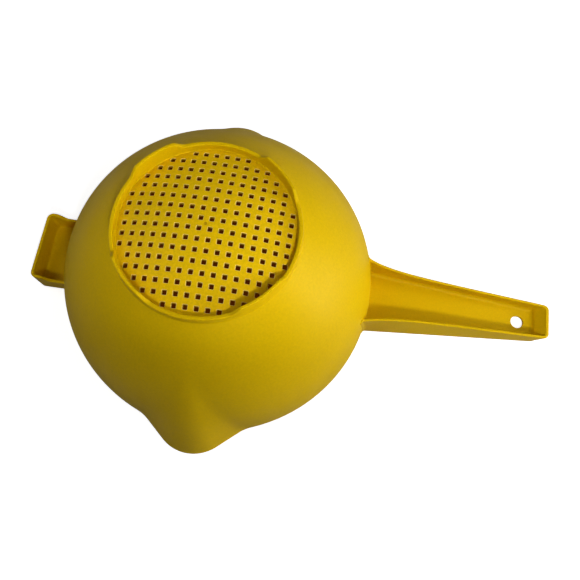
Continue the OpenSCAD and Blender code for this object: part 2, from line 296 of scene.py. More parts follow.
def plastic(name, base, dark, rough=(0.36, 0.48), peel=0.12, grain=0.3, sss=0.1, speck=(0.93, 1.05), holes=False):
    """Moulded polyethylene-like plastic: two close tones mixed by slow noise, fine orange peel, faint grain,
    roughness that wanders, and light that bleeds a little through thin walls."""
    m, nt = new_mat(name)
    L = nt.links
    out = node(nt, "ShaderNodeOutputMaterial", (900, 0))
    bsdf = node(nt, "ShaderNodeBsdfPrincipled", (500, 0))
    tc = node(nt, "ShaderNodeTexCoord", (-1100, 0))
    # tone
    n1 = node(nt, "ShaderNodeTexNoise", (-800, 250))
    n1.inputs["Scale"].default_value = 14.0
    n1.inputs["Detail"].default_value = 3.0
    L.new(tc.outputs["Object"], n1.inputs["Vector"])
    r1 = node(nt, "ShaderNodeMapRange", (-600, 250))
    r1.inputs["From Min"].default_value = 0.3
    r1.inputs["From Max"].default_value = 0.7
    L.new(n1.outputs["Fac"], r1.inputs["Value"])
    mix = node(nt, "ShaderNodeMix", (-350, 250), data_type="RGBA")
    mix.inputs["A"].default_value = (*base, 1)
    mix.inputs["B"].default_value = (*dark, 1)
    for s in mix.inputs:
        if s.name == "A" and s.type == "RGBA":
            s.default_value = (*base, 1)
        if s.name == "B" and s.type == "RGBA":
            s.default_value = (*dark, 1)
    L.new(r1.outputs["Result"], mix.inputs["Factor"])
    col = [s for s in mix.outputs if s.type == "RGBA"][0]
    # fine speckle of the satin skin
    n5 = node(nt, "ShaderNodeTexNoise", (-800, 520))
    n5.inputs["Scale"].default_value = 780.0
    n5.inputs["Detail"].default_value = 3.0
    n5.inputs["Roughness"].default_value = 0.6
    L.new(tc.outputs["Object"], n5.inputs["Vector"])
    r5 = node(nt, "ShaderNodeMapRange", (-600, 520))
    r5.inputs["From Min"].default_value = 0.3
    r5.inputs["From Max"].default_value = 0.7
    r5.inputs["To Min"].default_value = speck[0]
    r5.inputs["To Max"].default_value = speck[1]
    L.new(n5.outputs["Fac"], r5.inputs["Value"])
    hsv = node(nt, "ShaderNodeHueSaturation", (-100, 300))
    L.new(r5.outputs["Result"], hsv.inputs["Value"])
    L.new(col, hsv.inputs["Color"])
    col = hsv.outputs["Color"]
    if holes:
        # painted highlight on the holes' rounded rims and painted shade down inside the holes, read from a vertex
        # attribute; its green channel also darkens the small gate mark
        at = node(nt, "ShaderNodeAttribute", (-350, 700), attribute_name="painted_hole_light_and_gate_tone")
        sp = node(nt, "ShaderNodeSeparateColor", (-150, 700))
        L.new(at.outputs["Color"], sp.inputs["Color"])
        for out_name, tint, amount in (("Red", (0.86, 0.63, 0.22), 0.62), ("Green", (0.20, 0.075, 0.003), 0.8)):
            mu = node(nt, "ShaderNodeMath", (50, 700), operation="MULTIPLY")
            mu.inputs[1].default_value = amount
            L.new(sp.outputs[out_name], mu.inputs[0])
            mt = node(nt, "ShaderNodeMix", (220, 600), data_type="RGBA")
            L.new(mu.outputs[0], mt.inputs["Factor"])
            for i in mt.inputs:
                if i.name == "A" and i.type == "RGBA":
                    L.new(col, i)
                if i.name == "B" and i.type == "RGBA":
                    i.default_value = (*tint, 1)
            col = [i for i in mt.outputs if i.type == "RGBA"][0]
    L.new(col, bsdf.inputs["Base Color"])
    # roughness
    n2 = node(nt, "ShaderNodeTexNoise", (-800, -50))
    n2.inputs["Scale"].default_value = 55.0
    n2.inputs["Detail"].default_value = 4.0
    L.new(tc.outputs["Object"], n2.inputs["Vector"])
    r2 = node(nt, "ShaderNodeMapRange", (-550, -50))
    r2.inputs["From Min"].default_value = 0.3
    r2.inputs["From Max"].default_value = 0.7
    r2.inputs["To Min"].default_value = rough[0]
    r2.inputs["To Max"].default_value = rough[1]
    L.new(n2.outputs["Fac"], r2.inputs["Value"])
    L.new(r2.outputs["Result"], bsdf.inputs["Roughness"])
    # orange peel and grain
    n3 = node(nt, "ShaderNodeTexNoise", (-800, -350))
    n3.inputs["Scale"].default_value = 420.0
    n3.inputs["Detail"].default_value = 2.0
    L.new(tc.outputs["Object"], n3.inputs["Vector"])
    n4 = node(nt, "ShaderNodeTexNoise", (-800, -600))
    n4.inputs["Scale"].default_value = 1000.0
    n4.inputs["Detail"].default_value = 2.0
    L.new(tc.outputs["Object"], n4.inputs["Vector"])
    b1 = node(nt, "ShaderNodeBump", (-350, -400))
    b1.inputs["Strength"].default_value = peel
    b1.inputs["Distance"].default_value = 0.0004
    L.new(n3.outputs["Fac"], b1.inputs["Height"])
    b2 = node(nt, "ShaderNodeBump", (-100, -450))
    b2.inputs["Strength"].default_value = grain
    b2.inputs["Distance"].default_value = 0.00016
    L.new(n4.outputs["Fac"], b2.inputs["Height"])
    L.new(b1.outputs["Normal"], b2.inputs["Normal"])
    L.new(b2.outputs["Normal"], bsdf.inputs["Normal"])
    bsdf.inputs["IOR"].default_value = 1.38
    bsdf.inputs["Specular IOR Level"].default_value = 0.3
    bsdf.inputs["Specular Tint"].default_value = (1.0, 0.82, 0.14, 1.0)
    if sss > 0:
        bsdf.inputs["Subsurface Weight"].default_value = sss
        bsdf.inputs["Subsurface Radius"].default_value = (1.0, 0.65, 0.1)
        bsdf.inputs["Subsurface Scale"].default_value = 0.0022
    L.new(bsdf.outputs[0], out.inputs["Surface"])
    return m


# The three plastics stand for one moulding. The sieve's tone is set lighter than the bowl's and the handle's a touch
# darker: painted light, lit and shaded copies of one plastic that follow how bright each piece looks under the light.
MAT_BOWL = plastic("bowl_plastic", (0.70, 0.455, 0.001), (0.66, 0.43, 0.001))
MAT_SIEVE = plastic("sieve_plastic", (0.78, 0.50, 0.002), (0.73, 0.465, 0.002), rough=(0.36, 0.5), peel=0.2,
                    speck=(0.86, 1.08), holes=True)
MAT_HANDLE = plastic("handle_plastic", (0.68, 0.43, 0.001), (0.64, 0.405, 0.001), rough=(0.32, 0.44))


# ------------------------------------------------------------------ bowl wall
LIP_C = LIP_REACH - LIP_R
LIP_HALF = LIP_ANG - math.acos((LIP_C * math.cos(LIP_ANG) + LIP_R) / R)


def lip_plan(a, r_tip):
    """Distance of the lip's outline from the bowl's axis at the rim, in the direction a from the lip's middle."""
    s, c = np.sin(a), np.cos(a)
    circ = LIP_C * c + np.sqrt(np.maximum(r_tip**2 - (LIP_C * s) ** 2, 0))
    flank = (LIP_C * math.cos(LIP_ANG) + r_tip) / np.cos(a - LIP_ANG)
    return np.where((circ * s <= r_tip * math.sin(LIP_ANG)) & (r_tip > LIP_C * s), circ, flank)


def wall_rho(theta, z, base, t):
    """Radius of the bowl's face with both lips blended in. t is 0 on the outer face, WALL on the inner one."""
    phi = np.abs((theta + math.pi) % (2 * math.pi) - math.pi)      # 0..pi from +X
    phi = np.abs(phi - math.pi / 2)                                # from the nearer of +Y and -Y
    u = float(np.clip((z - LIP_LOW) / (H - LIP_LOW), 0, 1))
    if u <= 0:
        return np.broadcast_to(base, np.shape(theta)).astype(float)
    a = np.minimum(phi / u**0.7, 1.5 * LIP_HALF)
    out = u * u * (lip_plan(a, LIP_R - t) - (R - t)) - 0.25 * (1 - u)
    return smax(base, base + out, 0.3 + 1.5 * u * u)


def bowl_wall():
    # directions: fine across the lips
    th = []
    a = 0.0
    while a < 360.0 - 1e-6:
        th.append(a)
        d = abs(abs((a + 180) % 360 - 180) - 90)
        a += 0.42 if d < 27 else (0.6 if d < 30 else 1.0)
    th = np.radians(np.array(th))
    rows = []
    # outer face, from inside the ring up to the rim's rounding
    t_out = np.linspace(0, 1, 90)
    p = curve(t_out)
    rim_round = 0.6
    keep = p[:, 1] < H - rim_round - 0.15
    p = p[keep]
    start = P0 - 0.9 * np.array([math.cos(FOOT_ANG), math.sin(FOOT_ANG)])
    outer = [("o", start[0], start[1])] + [("o", q[0], q[1]) for q in p]
    outer.append(("o", float(rb(H - rim_round)), H - rim_round))
    # inner face: from the rim down to where the fillet to the plate starts
    rf = 15.0
    lo_t, hi_t = 0.0, 0.5
    C = np.array([0.0, DOME_C])

    def gap(t):
        c = inner(t) - rf * outward(t)
        return np.linalg.norm(c - C) - (DOME_R - PLATE_T - rf)

    for _ in range(60):
        mid = (lo_t + hi_t) / 2
        if (gap(lo_t) > 0) == (gap(mid) > 0):
            lo_t = mid
        else:
            hi_t = mid
    t_f = (lo_t + hi_t) / 2
    c_f = inner(t_f) - rf * outward(t_f)
    touch_w = inner(t_f)
    touch_p = C + (DOME_R - PLATE_T) * (c_f - C) / np.linalg.norm(c_f - C)
    t_in = np.linspace(1, t_f, 78)
    q = inner(t_in)
    q = q[q[:, 1] < H - rim_round - 0.15]
    inn = [("i", float(rb_in(H - rim_round)), H - rim_round)] + [("i", a_[0], a_[1]) for a_ in q]
    a0 = math.degrees(math.atan2(touch_w[1] - c_f[1], touch_w[0] - c_f[0]))
    a1 = math.degrees(math.atan2(touch_p[1] - c_f[1], touch_p[0] - c_f[0]))
    fil = arc(c_f, rf, a0, a1, 6)[1:]
    tail = [(touch_p[0] - 0.9, float(dome_up(touch_p[0] - 0.9)) - 0.12),
            (touch_p[0] - 1.3, float(dome_up(touch_p[0] - 1.3)) - 0.6),
            (51.9, 11.6)]
    nth = len(th)
    cols = []

    def add(rho, z):
        cols.append(np.stack([rho * np.cos(th), rho * np.sin(th), np.full(nth, z)], -1))

    for _, r, z in outer:
        add(wall_rho(th, z, r, 0.0), z)
    # rim: rounding, flat, rounding, between the outer and the inner contour
    ro = wall_rho(th, H, float(rb(H)), 0.0)
    ri = wall_rho(th, H, float(rb_in(H)) if _ci[-1, 1] >= H else float(_ci[-1, 0]), WALL)
    f = rim_round / WALL
    for ang in (22.5, 45, 67.5, 90):
        w = f * (1 - math.cos(math.radians(ang)))
        add(ro + (ri - ro) * w, H - rim_round + rim_round * math.sin(math.radians(ang)))
    add(ro + (ri - ro) * 0.5, H)
    for ang in (90, 67.5, 45, 22.5):
        w = 1 - f * (1 - math.cos(math.radians(ang)))
        add(ro + (ri - ro) * w, H - rim_round + rim_round * math.sin(math.radians(ang)))
    for _, r, z in inn:
        add(wall_rho(th, z, r, WALL), z)
    for r, z in list(fil) + tail:
        add(np.full(nth, r), z)
    P = np.stack(cols, 1)                       # (theta, profile, 3)
    nu, nv = P.shape[:2]
    verts = P.reshape(-1, 3)
    faces = fix_winding(verts, torus_faces(nu, nv))
    return make_object("bowl_wall", verts, faces, [MAT_BOWL])


# ------------------------------------------------------------------ ring and feet
def base_ring():
    half_tip = RING_RI * math.sin(math.radians(14.25)) + 0.1
    ramp = 5.5
    # directions, fine on the run-ups
    th = []
    a = 0.0
    while a < 360.0 - 1e-6:
        th.append(a)
        d = abs((a % 90) - 45)
        a += 0.25 if 12.0 < d < 22.5 else 1.0
    th = np.radians(np.array(th))

    def foot_share(theta):
        d = np.abs((np.degrees(theta) % 90) - 45)
        s = np.radians(d) * 51.0
        u = (half_tip + ramp - s) / ramp                  # 1 on the tip, 0 off the foot
        # rounded both ends of the run-up
        w = 0.22
        lowr = np.where(u > w, u, np.where(u < -w, 0, (u + w) ** 2 / (4 * w)))
        v = 1 - lowr
        top = np.where(v > w, v, np.where(v < -w, 0, (v + w) ** 2 / (4 * w)))
        return np.clip(1 - top, 0, 1)

    f = foot_share(th)
    z_e = RING_Z * (1 - f)
    re = 0.55
    rows = []

    def r_in(z):
        return RING_RI + 0.2 * np.clip((RING_Z - z) / RING_Z, 0, 1)

    def r_out(z):
        return np.where(z < RING_Z, RING_RO - 0.3 * (RING_Z - z) / RING_Z,
                        RING_RO + (FOOT_R - RING_RO) * (z - RING_Z) / (FOOT_Z - RING_Z))

    # fillet to the plate's underside
    fi = 0.5
    cx = RING_RI - fi
    cz = DOME_C - math.sqrt((DOME_R + fi) ** 2 - cx**2)
    tp = np.array([cx, cz - DOME_C]) / (DOME_R + fi) * DOME_R
    a_top = math.degrees(math.atan2(tp[1] + DOME_C - cz, tp[0] - cx))
    # fillet to the bowl
    fo = 1.5
    n = np.array([math.sin(FOOT_ANG), -math.cos(FOOT_ANG)])
    ox = 52.5 + fo
    oz = FOOT_Z - (fo - (ox - FOOT_R) * n[0]) / (-n[1])
    a_end = math.degrees(math.atan2(-n[1], -n[0]))
    nth = len(th)

    def add(r, z):
        r = np.broadcast_to(r, (nth,))
        z = np.broadcast_to(z, (nth,))
        rows.append(np.stack([r * np.cos(th), r * np.sin(th), z], -1))

    # the hidden edge stays clear of the outermost holes
    add(tp[0] + 0.3, float(dome_low(tp[0] + 0.3)) + 0.9)
    add(tp[0] - 0.12, float(dome_low(tp[0] - 0.12)) + 0.25)
    add(tp[0] - 0.10, float(dome_low(tp[0] - 0.10)) + 0.03)
    for q in arc((cx, cz), fi, a_top, 0, 6):
        add(q[0], q[1] + 0.0)
    # inner wall
    for v in (0.2, 0.4, 0.6, 0.8, 1.0):
        z = (cz + (z_e + re - cz) * v)
        add(r_in(z), z)
    # lower edge
    for ang in (22.5, 45, 67.5, 90):
        a_ = math.radians(ang)
        z = z_e + re - re * math.sin(a_)
        add(r_in(z_e) + re * (1 - math.cos(a_)), z)
    for v in (0.5,):
        add(r_in(z_e) + re + (r_out(z_e) - r_in(z_e) - 2 * re) * v, z_e)
    for ang in (90, 67.5, 45, 22.5):
        a_ = math.radians(ang)
        z = z_e + re - re * math.sin(a_)
        add(r_out(z_e) - re * (1 - math.cos(a_)), z)
    # outer wall
    for v in (0.0, 0.2, 0.4, 0.6, 0.8):
        z = z_e + re + (oz - z_e - re) * v
        add(np.minimum(r_out(z), 52.5), z)
    # fillet to the bowl
    for q in arc((ox, oz), fo, 180, a_end, 7):
        add(q[0], q[1])
    e = np.array([ox + fo * math.cos(math.radians(a_end)), oz + fo * math.sin(math.radians(a_end))])
    d = np.array([math.cos(FOOT_ANG), math.sin(FOOT_ANG)])
    add(*(e + d * 0.6 - n * 0.05))
    add(*(e + d * 0.9 - n * 0.8))
    add(51.0, 13.2)
    P = np.stack(rows, 1)
    nu, nv = P.shape[:2]
    verts = P.reshape(-1, 3)
    faces = fix_winding(verts, torus_faces(nu, nv))
    return make_object("base_ring", verts, faces, [MAT_BOWL])


# ------------------------------------------------------------------ sieve plate
def rounded_square(h, r, n=4):
    """Points of a square with half-side h and corner radius r, anticlockwise."""
    pts = []
    for k in range(4):
        a0 = k * 90
        cx, cy = (h - r) * (1 if k in (0, 3) else -1), (h - r) * (1 if k in (0, 1) else -1)
        for i in range(n):
            a = math.radians(a0 + 90 * i / (n - 1))
            pts.append((cx + r * math.cos(a), cy + r * math.sin(a)))
    return np.array(pts)


def sieve_plate_piece():
    pitch, half = 6.0, 1.25
    field = 47.5
    idx = range(-9, 9)
    centres = [((i + 0.5) * pitch, (j + 0.5) * pitch) for i in idx for j in idx
               if math.hypot((i + 0.5) * pitch, (j + 0.5) * pitch) <= field]
    # levels of one hole, from the lower face to the upper face: (grow, share of thickness)
    # and the light painted there: (pale = painted highlight, deep = painted shade)
    bev = 0.36
    levels = [(bev, 0.0, (0, 0)), (bev * 0.62, bev * 0.08, (1, 0)), (bev * 0.29, bev * 0.29, (1, 0)),
              (bev * 0.08, bev * 0.62, (0.4, 0.2)), (0.0, bev, (0, 0.7)), (-0.05, PLATE_T / 2, (0, 1)),
              (0.0, PLATE_T - 0.12, (0, 1)), (0.04, PLATE_T - 0.035, (0, 0.5)), (0.12, PLATE_T, (0, 0))]
    corner = 0.34
    npt = 16
    verts, faces = [], []
    painted_light_at = {}

    def height(x, y, depth):
        r = math.hypot(x, y)
        return DOME_C - math.sqrt((DOME_R - depth) ** 2 - r * r)

    low_r, up_r = 51.2, 54.6

    def steiner(rmax, n_rim):
        pts = []
        for i in range(-9, 10):
            for j in range(-9, 10):
                x, y = i * pitch, j * pitch
                if math.hypot(x, y) < rmax - 1.2:
                    if not (i == 0 and j == 0):
                        pts.append((x, y))
        for i in range(-9, 10):
            for j in range(-9, 9):
                for x, y in ((i * pitch, (j + 0.5) * pitch), ((j + 0.5) * pitch, i * pitch)):
                    if math.hypot(x, y) < rmax - 1.2:
                        pts.append((x, y))
        # the small gate mark in the middle
        for r, n in ((0.45, 10), (0.85, 14), (1.1, 16)):
            for k in range(n):
                a = 2 * math.pi * k / n
                pts.append((r * math.cos(a), r * math.sin(a)))
        pts.append((0.0, 0.0))
        clear = []
        for x, y in pts:
            cx = (math.floor(x / pitch) + 0.5) * pitch
            cy = (math.floor(y / pitch) + 0.5) * pitch
            if math.hypot(cx, cy) <= field and max(abs(x - cx), abs(y - cy)) < half + 0.5:
                continue
            clear.append((x, y))
        return clear

    def face_side(rmax, grow, depth, n_rim, sign):
        ring = [(rmax * math.cos(2 * math.pi * k / n_rim), rmax * math.sin(2 * math.pi * k / n_rim)) for k in range(n_rim)]
        base = rounded_square(half + grow, corner + grow)
        holes = [base + np.array(c) for c in centres]
        st = steiner(rmax, n_rim)
        pts, tris = cap_faces(ring, holes, st)
        start = len(verts)
        for x, y in pts:
            dz = 0.0
            rr = math.hypot(x, y)
            if sign > 0 and rr < 1.12:
                dz = 0.22 * float(smooth01(1 - (rr - 0.45) / 0.62)) if rr > 0.45 else 0.22
                if rr < 0.3:
                    dz = 0.12
            verts.append((x, y, height(x, y, depth) + dz))
        for t in tris:
            faces.append(tuple(start + i for i in t))
        return start, n_rim, len(ring)

    s_low, n_low, _ = face_side(low_r, levels[0][0], 0.0, 240, +1)
    s_up, n_up, _ = face_side(up_r, levels[-1][0], PLATE_T, 240, -1)
    # hole walls
    for h, c in enumerate(centres):
        loops = []
        loops.append([s_low + 240 + h * npt + k for k in range(npt)])
        for grow, depth, light_paint in levels[1:-1]:
            base = rounded_square(half + grow, corner + grow) + np.array(c)
            s = len(verts)
            for x, y in base:
                verts.append((x, y, height(x, y, depth)))
                painted_light_at[len(verts) - 1] = light_paint
            loops.append([s + k for k in range(npt)])
        loops.append([s_up + 240 + h * npt + k for k in range(npt)])
        for a, b in zip(loops[:-1], loops[1:]):
            for k in range(npt):
                k2 = (k + 1) % npt
                faces.append((a[k], a[k2], b[k2], b[k]))
    # rim of the plate, hidden in the wall
    for k in range(240):
        k2 = (k + 1) % 240
        faces.append((s_low + k, s_low + k2, s_up + k2, s_up + k))
    v = np.array(verts)
    # consistent winding: lower faces look down, upper faces up, and so on
    fixed = []
    for f in faces:
        pts = v[list(f)]
        nrm = np.cross(pts[1] - pts[0], pts[2] - pts[0])
        c = pts.mean(0)
        if max(f) < s_up and min(f) >= s_low and len(f) == 3:
            good = nrm[2] < 0
        elif len(f) == 3:
            good = nrm[2] > 0
        else:
            rr = math.hypot(c[0], c[1])
            if rr > 50.5:
                good = nrm[0] * c[0] + nrm[1] * c[1] > 0
            else:
                hx = (math.floor(c[0] / pitch) + 0.5) * pitch
                hy = (math.floor(c[1] / pitch) + 0.5) * pitch
                good = nrm[0] * (hx - c[0]) + nrm[1] * (hy - c[1]) > 0
        fixed.append(f if good else tuple(reversed(f)))
    o = make_object("sieve_plate_moulded", v, fixed, [MAT_SIEVE])
    # face normals follow the dome, wall normals follow the hole
    me = o.data
    normals = np.zeros((len(me.vertices), 3), np.float32)
    me.vertices.foreach_get("co", co := np.zeros(len(me.vertices) * 3, np.float32))
    co = co.reshape(-1, 3) / MM
    nsm = np.zeros(len(me.vertices) * 3, np.float32)
    me.vertices.foreach_get("normal", nsm)
    nsm = nsm.reshape(-1, 3)
    normals[:] = nsm
    rr = np.hypot(co[:, 0], co[:, 1])
    dome = co - np.array([0, 0, DOME_C])
    dome /= np.linalg.norm(dome, axis=1)[:, None]
    is_low = np.arange(len(co)) < s_up
    first_wall = s_up + (240 + len(centres) * npt)
    # count of the upper face's own points
    st_n = len(steiner(up_r, 240))
    is_up = (np.arange(len(co)) >= s_up) & (np.arange(len(co)) < first_wall + st_n)
    gate = rr < 1.25
    normals[is_low & ~gate & (rr < low_r - 0.01)] = dome[is_low & ~gate & (rr < low_r - 0.01)]
    normals[is_up & (rr < up_r - 0.01)] = -dome[is_up & (rr < up_r - 0.01)]
    me.normals_split_custom_set_from_vertices([tuple(x) for x in normals])
    # vertex colours of painted light: red is a painted highlight on the hole rims, green is painted shade inside the
    # holes
    layer = me.color_attributes.new("painted_hole_light_and_gate_tone", "FLOAT_COLOR", "POINT")
    vals = np.zeros((len(me.vertices), 4), np.float32)
    vals[:, 3] = 1.0
    for k, (pale, painted_shade) in painted_light_at.items():
        vals[k, 0], vals[k, 1] = pale, painted_shade
    # the green channel also darkens the small gate mark in the middle of the lower face
    vals[is_low & (rr < 0.9), 1] = 0.6
    layer.data.foreach_set("color", vals.ravel())
    return o


# ------------------------------------------------------------------ trays: handle and hook
def tray(name, half_lo, half_hi, depth, x_lo, x_hi, corner, t_side, t_end, mats, side, hole=None,
         fillet=1.2, root_fillet=1.6, n_side=34, edge=0.6, floor_fillet_root=1.5):
    """A closed tray that grows out of the bowl wall: web on the rim plane, walls that hang below it.
    half_lo(x), half_hi(x): half-widths of the outer face on the rim plane and at the free edge; depth(x): free edge
    below the rim plane; x_lo, x_hi: where the end wall stands at the two heights; side: +1 towards +X, -1 towards -X."""
    z_top = H - TOP_GAP
    z_floor = H - WEB_T

    # one level of the loft: v is how far from the rim plane to the free edge, inset is how far inwards
    def contour(v, ins_side, ins_end, z_of, hide, rad_gain=0.0):
        """Loop of points. z_of(x, v) gives the height."""
        x_end = x_lo + (x_hi - x_lo) * v - ins_end

        def half(x):
            return half_lo(x) * (1 - v) + half_hi(x) * v - ins_side

        r = max(corner - max(ins_side, 0) + rad_gain, 0.35)
        # slope of the side near the end
        tau = math.atan2(float(half(x_end - 12) - half(x_end - 6)), 6.0)
        x_t = x_end - r + r * math.sin(tau)
        yc = float(half(x_t)) - r * math.cos(tau)
        # stations measured from the bowl
        s = np.linspace(0, 1, n_side) ** 1.7
        x = 100.0 + (x_t - 100.0) * s
        for _ in range(12):
            y = half(x)
            z = z_of(x, v)
            xb = np.sqrt(np.maximum(rb(z) ** 2 - y**2, 1))
            x = xb + (x_t - xb) * s
        y = half(x)
        z = z_of(x, v)
        xb = np.sqrt(np.maximum(rb(z) ** 2 - y**2, 1))
        d = x - xb
        # concave root: the wall widens where it meets the bowl
        rf = root_fillet
        e = np.where(d < rf, rf - np.sqrt(np.maximum(rf**2 - (rf - np.clip(d, 0, rf)) ** 2, 0)), 0.0)
        sign = 1.0 if hide_sign(ins_side) else -1.0
        y = y + sign * e * widen
        side_pts = np.stack([x, y, z], -1)
        ang = np.linspace(math.pi / 2 - tau, 0, 9)[1:]
        cx = x_end - r
        corner_pts = np.stack([cx + r * np.cos(ang), yc + r * np.sin(ang),
                               z_of(cx + r * np.cos(ang), v)], -1)
        end_y = np.array([yc * 0.5, 0.0])
        end_pts = np.stack([np.full(2, x_end), end_y, z_of(np.full(2, x_end), v)], -1)
        halfloop = np.concatenate([side_pts, corner_pts, end_pts])
        mirrored = halfloop[:-1][::-1] * np.array([1, -1, 1])
        u = np.concatenate([halfloop, mirrored])
        # closing path inside the bowl's wall
        z0 = float(side_pts[0, 2])
        y0 = float(side_pts[0, 1])
        rad = float(rb(z0)) - hide
        a0 = math.asin(min(y0 / rad, 1.0))
        angs = np.linspace(-a0, a0, 13)
        close = np.stack([rad * np.cos(angs), rad * np.sin(angs), np.full(13, z0)], -1)
        return np.concatenate([u, close])

    widen = 1.0

    def hide_sign(ins):
        # outer faces widen outwards, inner faces inwards
        return ins < t_side * 0.5

    def z_wall(x, v):
        zf = H - depth(x)
        return z_floor_mix(v, zf)

    loops = []

    def flat(zv):
        return lambda x, v: np.full(np.shape(x), zv)

    rt = 0.6
    # top edge rounding
    for ang in (90, 67.5, 45, 22.5, 0):
        a_ = math.radians(ang)
        ins = rt * (1 - math.cos(a_))
        loops.append(contour(0.0, ins, ins, flat(z_top - rt + rt * math.sin(a_)), 1.5))
    # outer wall: v 0 is at the web's lower face
    z_start = z_top - rt
    re = edge

    def wall_z(lift):
        def f(x, v):
            zf = H - depth(x) + lift
            return z_start + (zf - z_start) * v
        return f

    for v in (0.08, 0.2, 0.35, 0.5, 0.65, 0.8, 0.92, 1.0):
        loops.append(contour(v, 0.0, 0.0, wall_z(re), 1.5))
    # free edge: two roundings with a flat between them
    def edge_z(dz):
        def f(x, v):
            return H - depth(x) + dz
        return f

    for ang in (22.5, 45, 67.5, 90):
        a_ = math.radians(ang)
        ins = re * (1 - math.cos(a_))
        loops.append(contour(1.0, ins, ins, edge_z(re - re * math.sin(a_)), 1.5 - 0.3 * ang / 90))
    for ang in (90, 67.5, 45, 22.5, 0):
        a_ = math.radians(ang)
        ins = re * (1 - math.cos(a_))
        loops.append(contour(1.0, t_side - ins, t_end - ins, edge_z(re - re * math.sin(a_)), 0.6))
    # inner wall down to the floor's fillet
    zf_start = z_floor - fillet

    def inner_z(x, v):
        zf = H - depth(x) + re
        return zf_start + (zf - zf_start) * v

    for v in (0.9, 0.75, 0.6, 0.45, 0.3, 0.15, 0.0):
        loops.append(contour(v, t_side, t_end, inner_z, 0.5))
    for ang in (22.5, 45, 67.5, 90):
        a_ = math.radians(ang)
        ins = fillet * (1 - math.cos(a_))
        loops.append(contour(0.0, t_side + ins, t_end + ins, flat(z_floor - fillet + fillet * math.sin(a_)), 0.5))
    n = len(loops[0])
    verts = np.concatenate(loops)
    faces = []
    for k in range(len(loops) - 1):
        a, b = k * n, (k + 1) * n
        for i in range(n):
            j = (i + 1) % n
            faces.append((a + i, b + i, b + j, a + j))
    # caps
    top = loops[0][:, :2]
    floor = loops[-1][:, :2]
    verts = list(map(tuple, verts))
    nh = 48
    if hole is not None:
        hx, hr = hole
        circle = np.array([(math.cos(2 * math.pi * k / nh), math.sin(2 * math.pi * k / nh)) for k in range(nh)])
        b_top, b_floor = 0.25, 0.28
        top_h = circle * (hr + b_top) + np.array([hx, 0])
        fl_h = circle * (hr + b_floor) + np.array([hx, 0])
        holes_top, holes_fl = [top_h], [fl_h]
    else:
        holes_top, holes_fl = [], []

    def cap(loop2d, z, base, holes):
        rs = np.random.RandomState(3)
        xmin, xmax = loop2d[:, 0].min(), loop2d[:, 0].max()
        st = []
        gx = np.arange(xmin + 3, xmax - 2, 4.0)
        for x in gx:
            for y in np.arange(-22, 22.1, 4.0):
                st.append((float(x), float(y)))
        st = np.array(st)
        ok = inside_loop(st, loop2d)
        # keep away from the loop and the holes
        d = np.sqrt(((st[:, None, :] - loop2d[None]) ** 2).sum(-1)).min(1)
        ok &= d > 1.2
        for h in holes:
            ok &= np.sqrt(((st - h.mean(0)) ** 2).sum(-1)) > hole[1] + 1.8
        st = st[ok]
        pts, tris = cap_faces(loop2d, holes, st)
        extra = len(verts)
        ids = [base + i for i in range(len(loop2d))]
        for p_ in pts[len(loop2d):]:
            ids.append(len(verts))
            verts.append((p_[0], p_[1], z))
        for t in tris:
            faces.append(tuple(ids[i] for i in t))
        return extra

    e_top = cap(top, z_top, 0, holes_top)
    e_fl = cap(floor, z_floor, (len(loops) - 1) * n, holes_fl)
    if hole is not None:
        rings = [[e_top + k for k in range(nh)]]
        prof = []
        for ang in (67.5, 45, 22.5, 0):
            a_ = math.radians(ang)
            prof.append((hr + b_top * (1 - math.cos(a_)), z_top - b_top + b_top * math.sin(a_)))
        for ang in (0, 22.5, 45, 67.5):
            a_ = math.radians(ang)
            prof.append((hr + b_floor * (1 - math.cos(a_)), z_floor + b_floor - b_floor * math.sin(a_)))
        for r, z in prof:
            s = len(verts)
            for c in circle:
                verts.append((hx + c[0] * r, c[1] * r, z))
            rings.append([s + k for k in range(nh)])
        rings.append([e_fl + k for k in range(nh)])
        for a, b in zip(rings[:-1], rings[1:]):
            for k in range(nh):
                k2 = (k + 1) % nh
                faces.append((a[k], b[k], b[k2], a[k2]))
    v = np.array(verts)
    if side < 0:
        v = v * np.array([-1, 1, 1])
    o = make_object(name, v, faces, mats)
    bm = bmesh.new()
    bm.from_mesh(o.data)
    bmesh.ops.recalc_face_normals(bm, faces=bm.faces)
    if bm.calc_volume(signed=True) < 0:
        bmesh.ops.reverse_faces(bm, faces=bm.faces)
    bm.to_mesh(o.data)
    bm.free()
    o.data.polygons.foreach_set("use_smooth", [True] * len(o.data.polygons))
    # flat caps keep their own normals
    wn = o.modifiers.new("even_normals", "WEIGHTED_NORMAL")
    wn.keep_sharp = False
    wn.weight = 50
    wn.mode = "FACE_AREA_WITH_ANGLE"
    return o


def z_floor_mix(v, zf):
    return zf


HANDLE_END = float(end_hi[0])
END_LEAN = 5.2
LO_END = HANDLE_END - END_LEAN


def h_half_lo(x):
    return 21.0 + (11.4 - 21.0) * (np.asarray(x, float) - R) / (LO_END - R)


def h_half_hi(x):
    x = np.asarray(x, float)
    a = 11.2 + 0.045 * (HANDLE_END - x) + 3.6 * np.exp(-(x - R) / 16)
    return np.minimum(a, h_half_lo(x) + 1)


def h_depth(x):
    x = np.asarray(x, float)
    return np.minimum(11.2 + 0.0885 * np.maximum(HANDLE_END - x, 0) + 0.8 * np.exp(-(x - R) / 6), 34)


HOOK_END = float(-hook_lo[0])


def k_half(x):
    return np.full(np.shape(x), 22.8) if np.ndim(x) else 22.8


def k_depth(x):
    x = np.asarray(x, float)
    return 13.2 + (18.8 - 13.2) * smooth01((x - (HOOK_END - 12.4)) / 6.8)


wall = bowl_wall()
ring = base_ring()
plate = sieve_plate_piece()
handle = tray("handle_channel", h_half_lo, h_half_hi, h_depth, LO_END, HANDLE_END, 3.6, 1.7, 2.4,
              [MAT_HANDLE], +1, hole=(hang[0] * 1000, 4.1), fillet=2.7)
hook = tray("pan_hook", k_half, k_half, k_depth, HOOK_END, HOOK_END, 4.0, 1.9, 1.9,
            [MAT_HANDLE], -1, n_side=26)

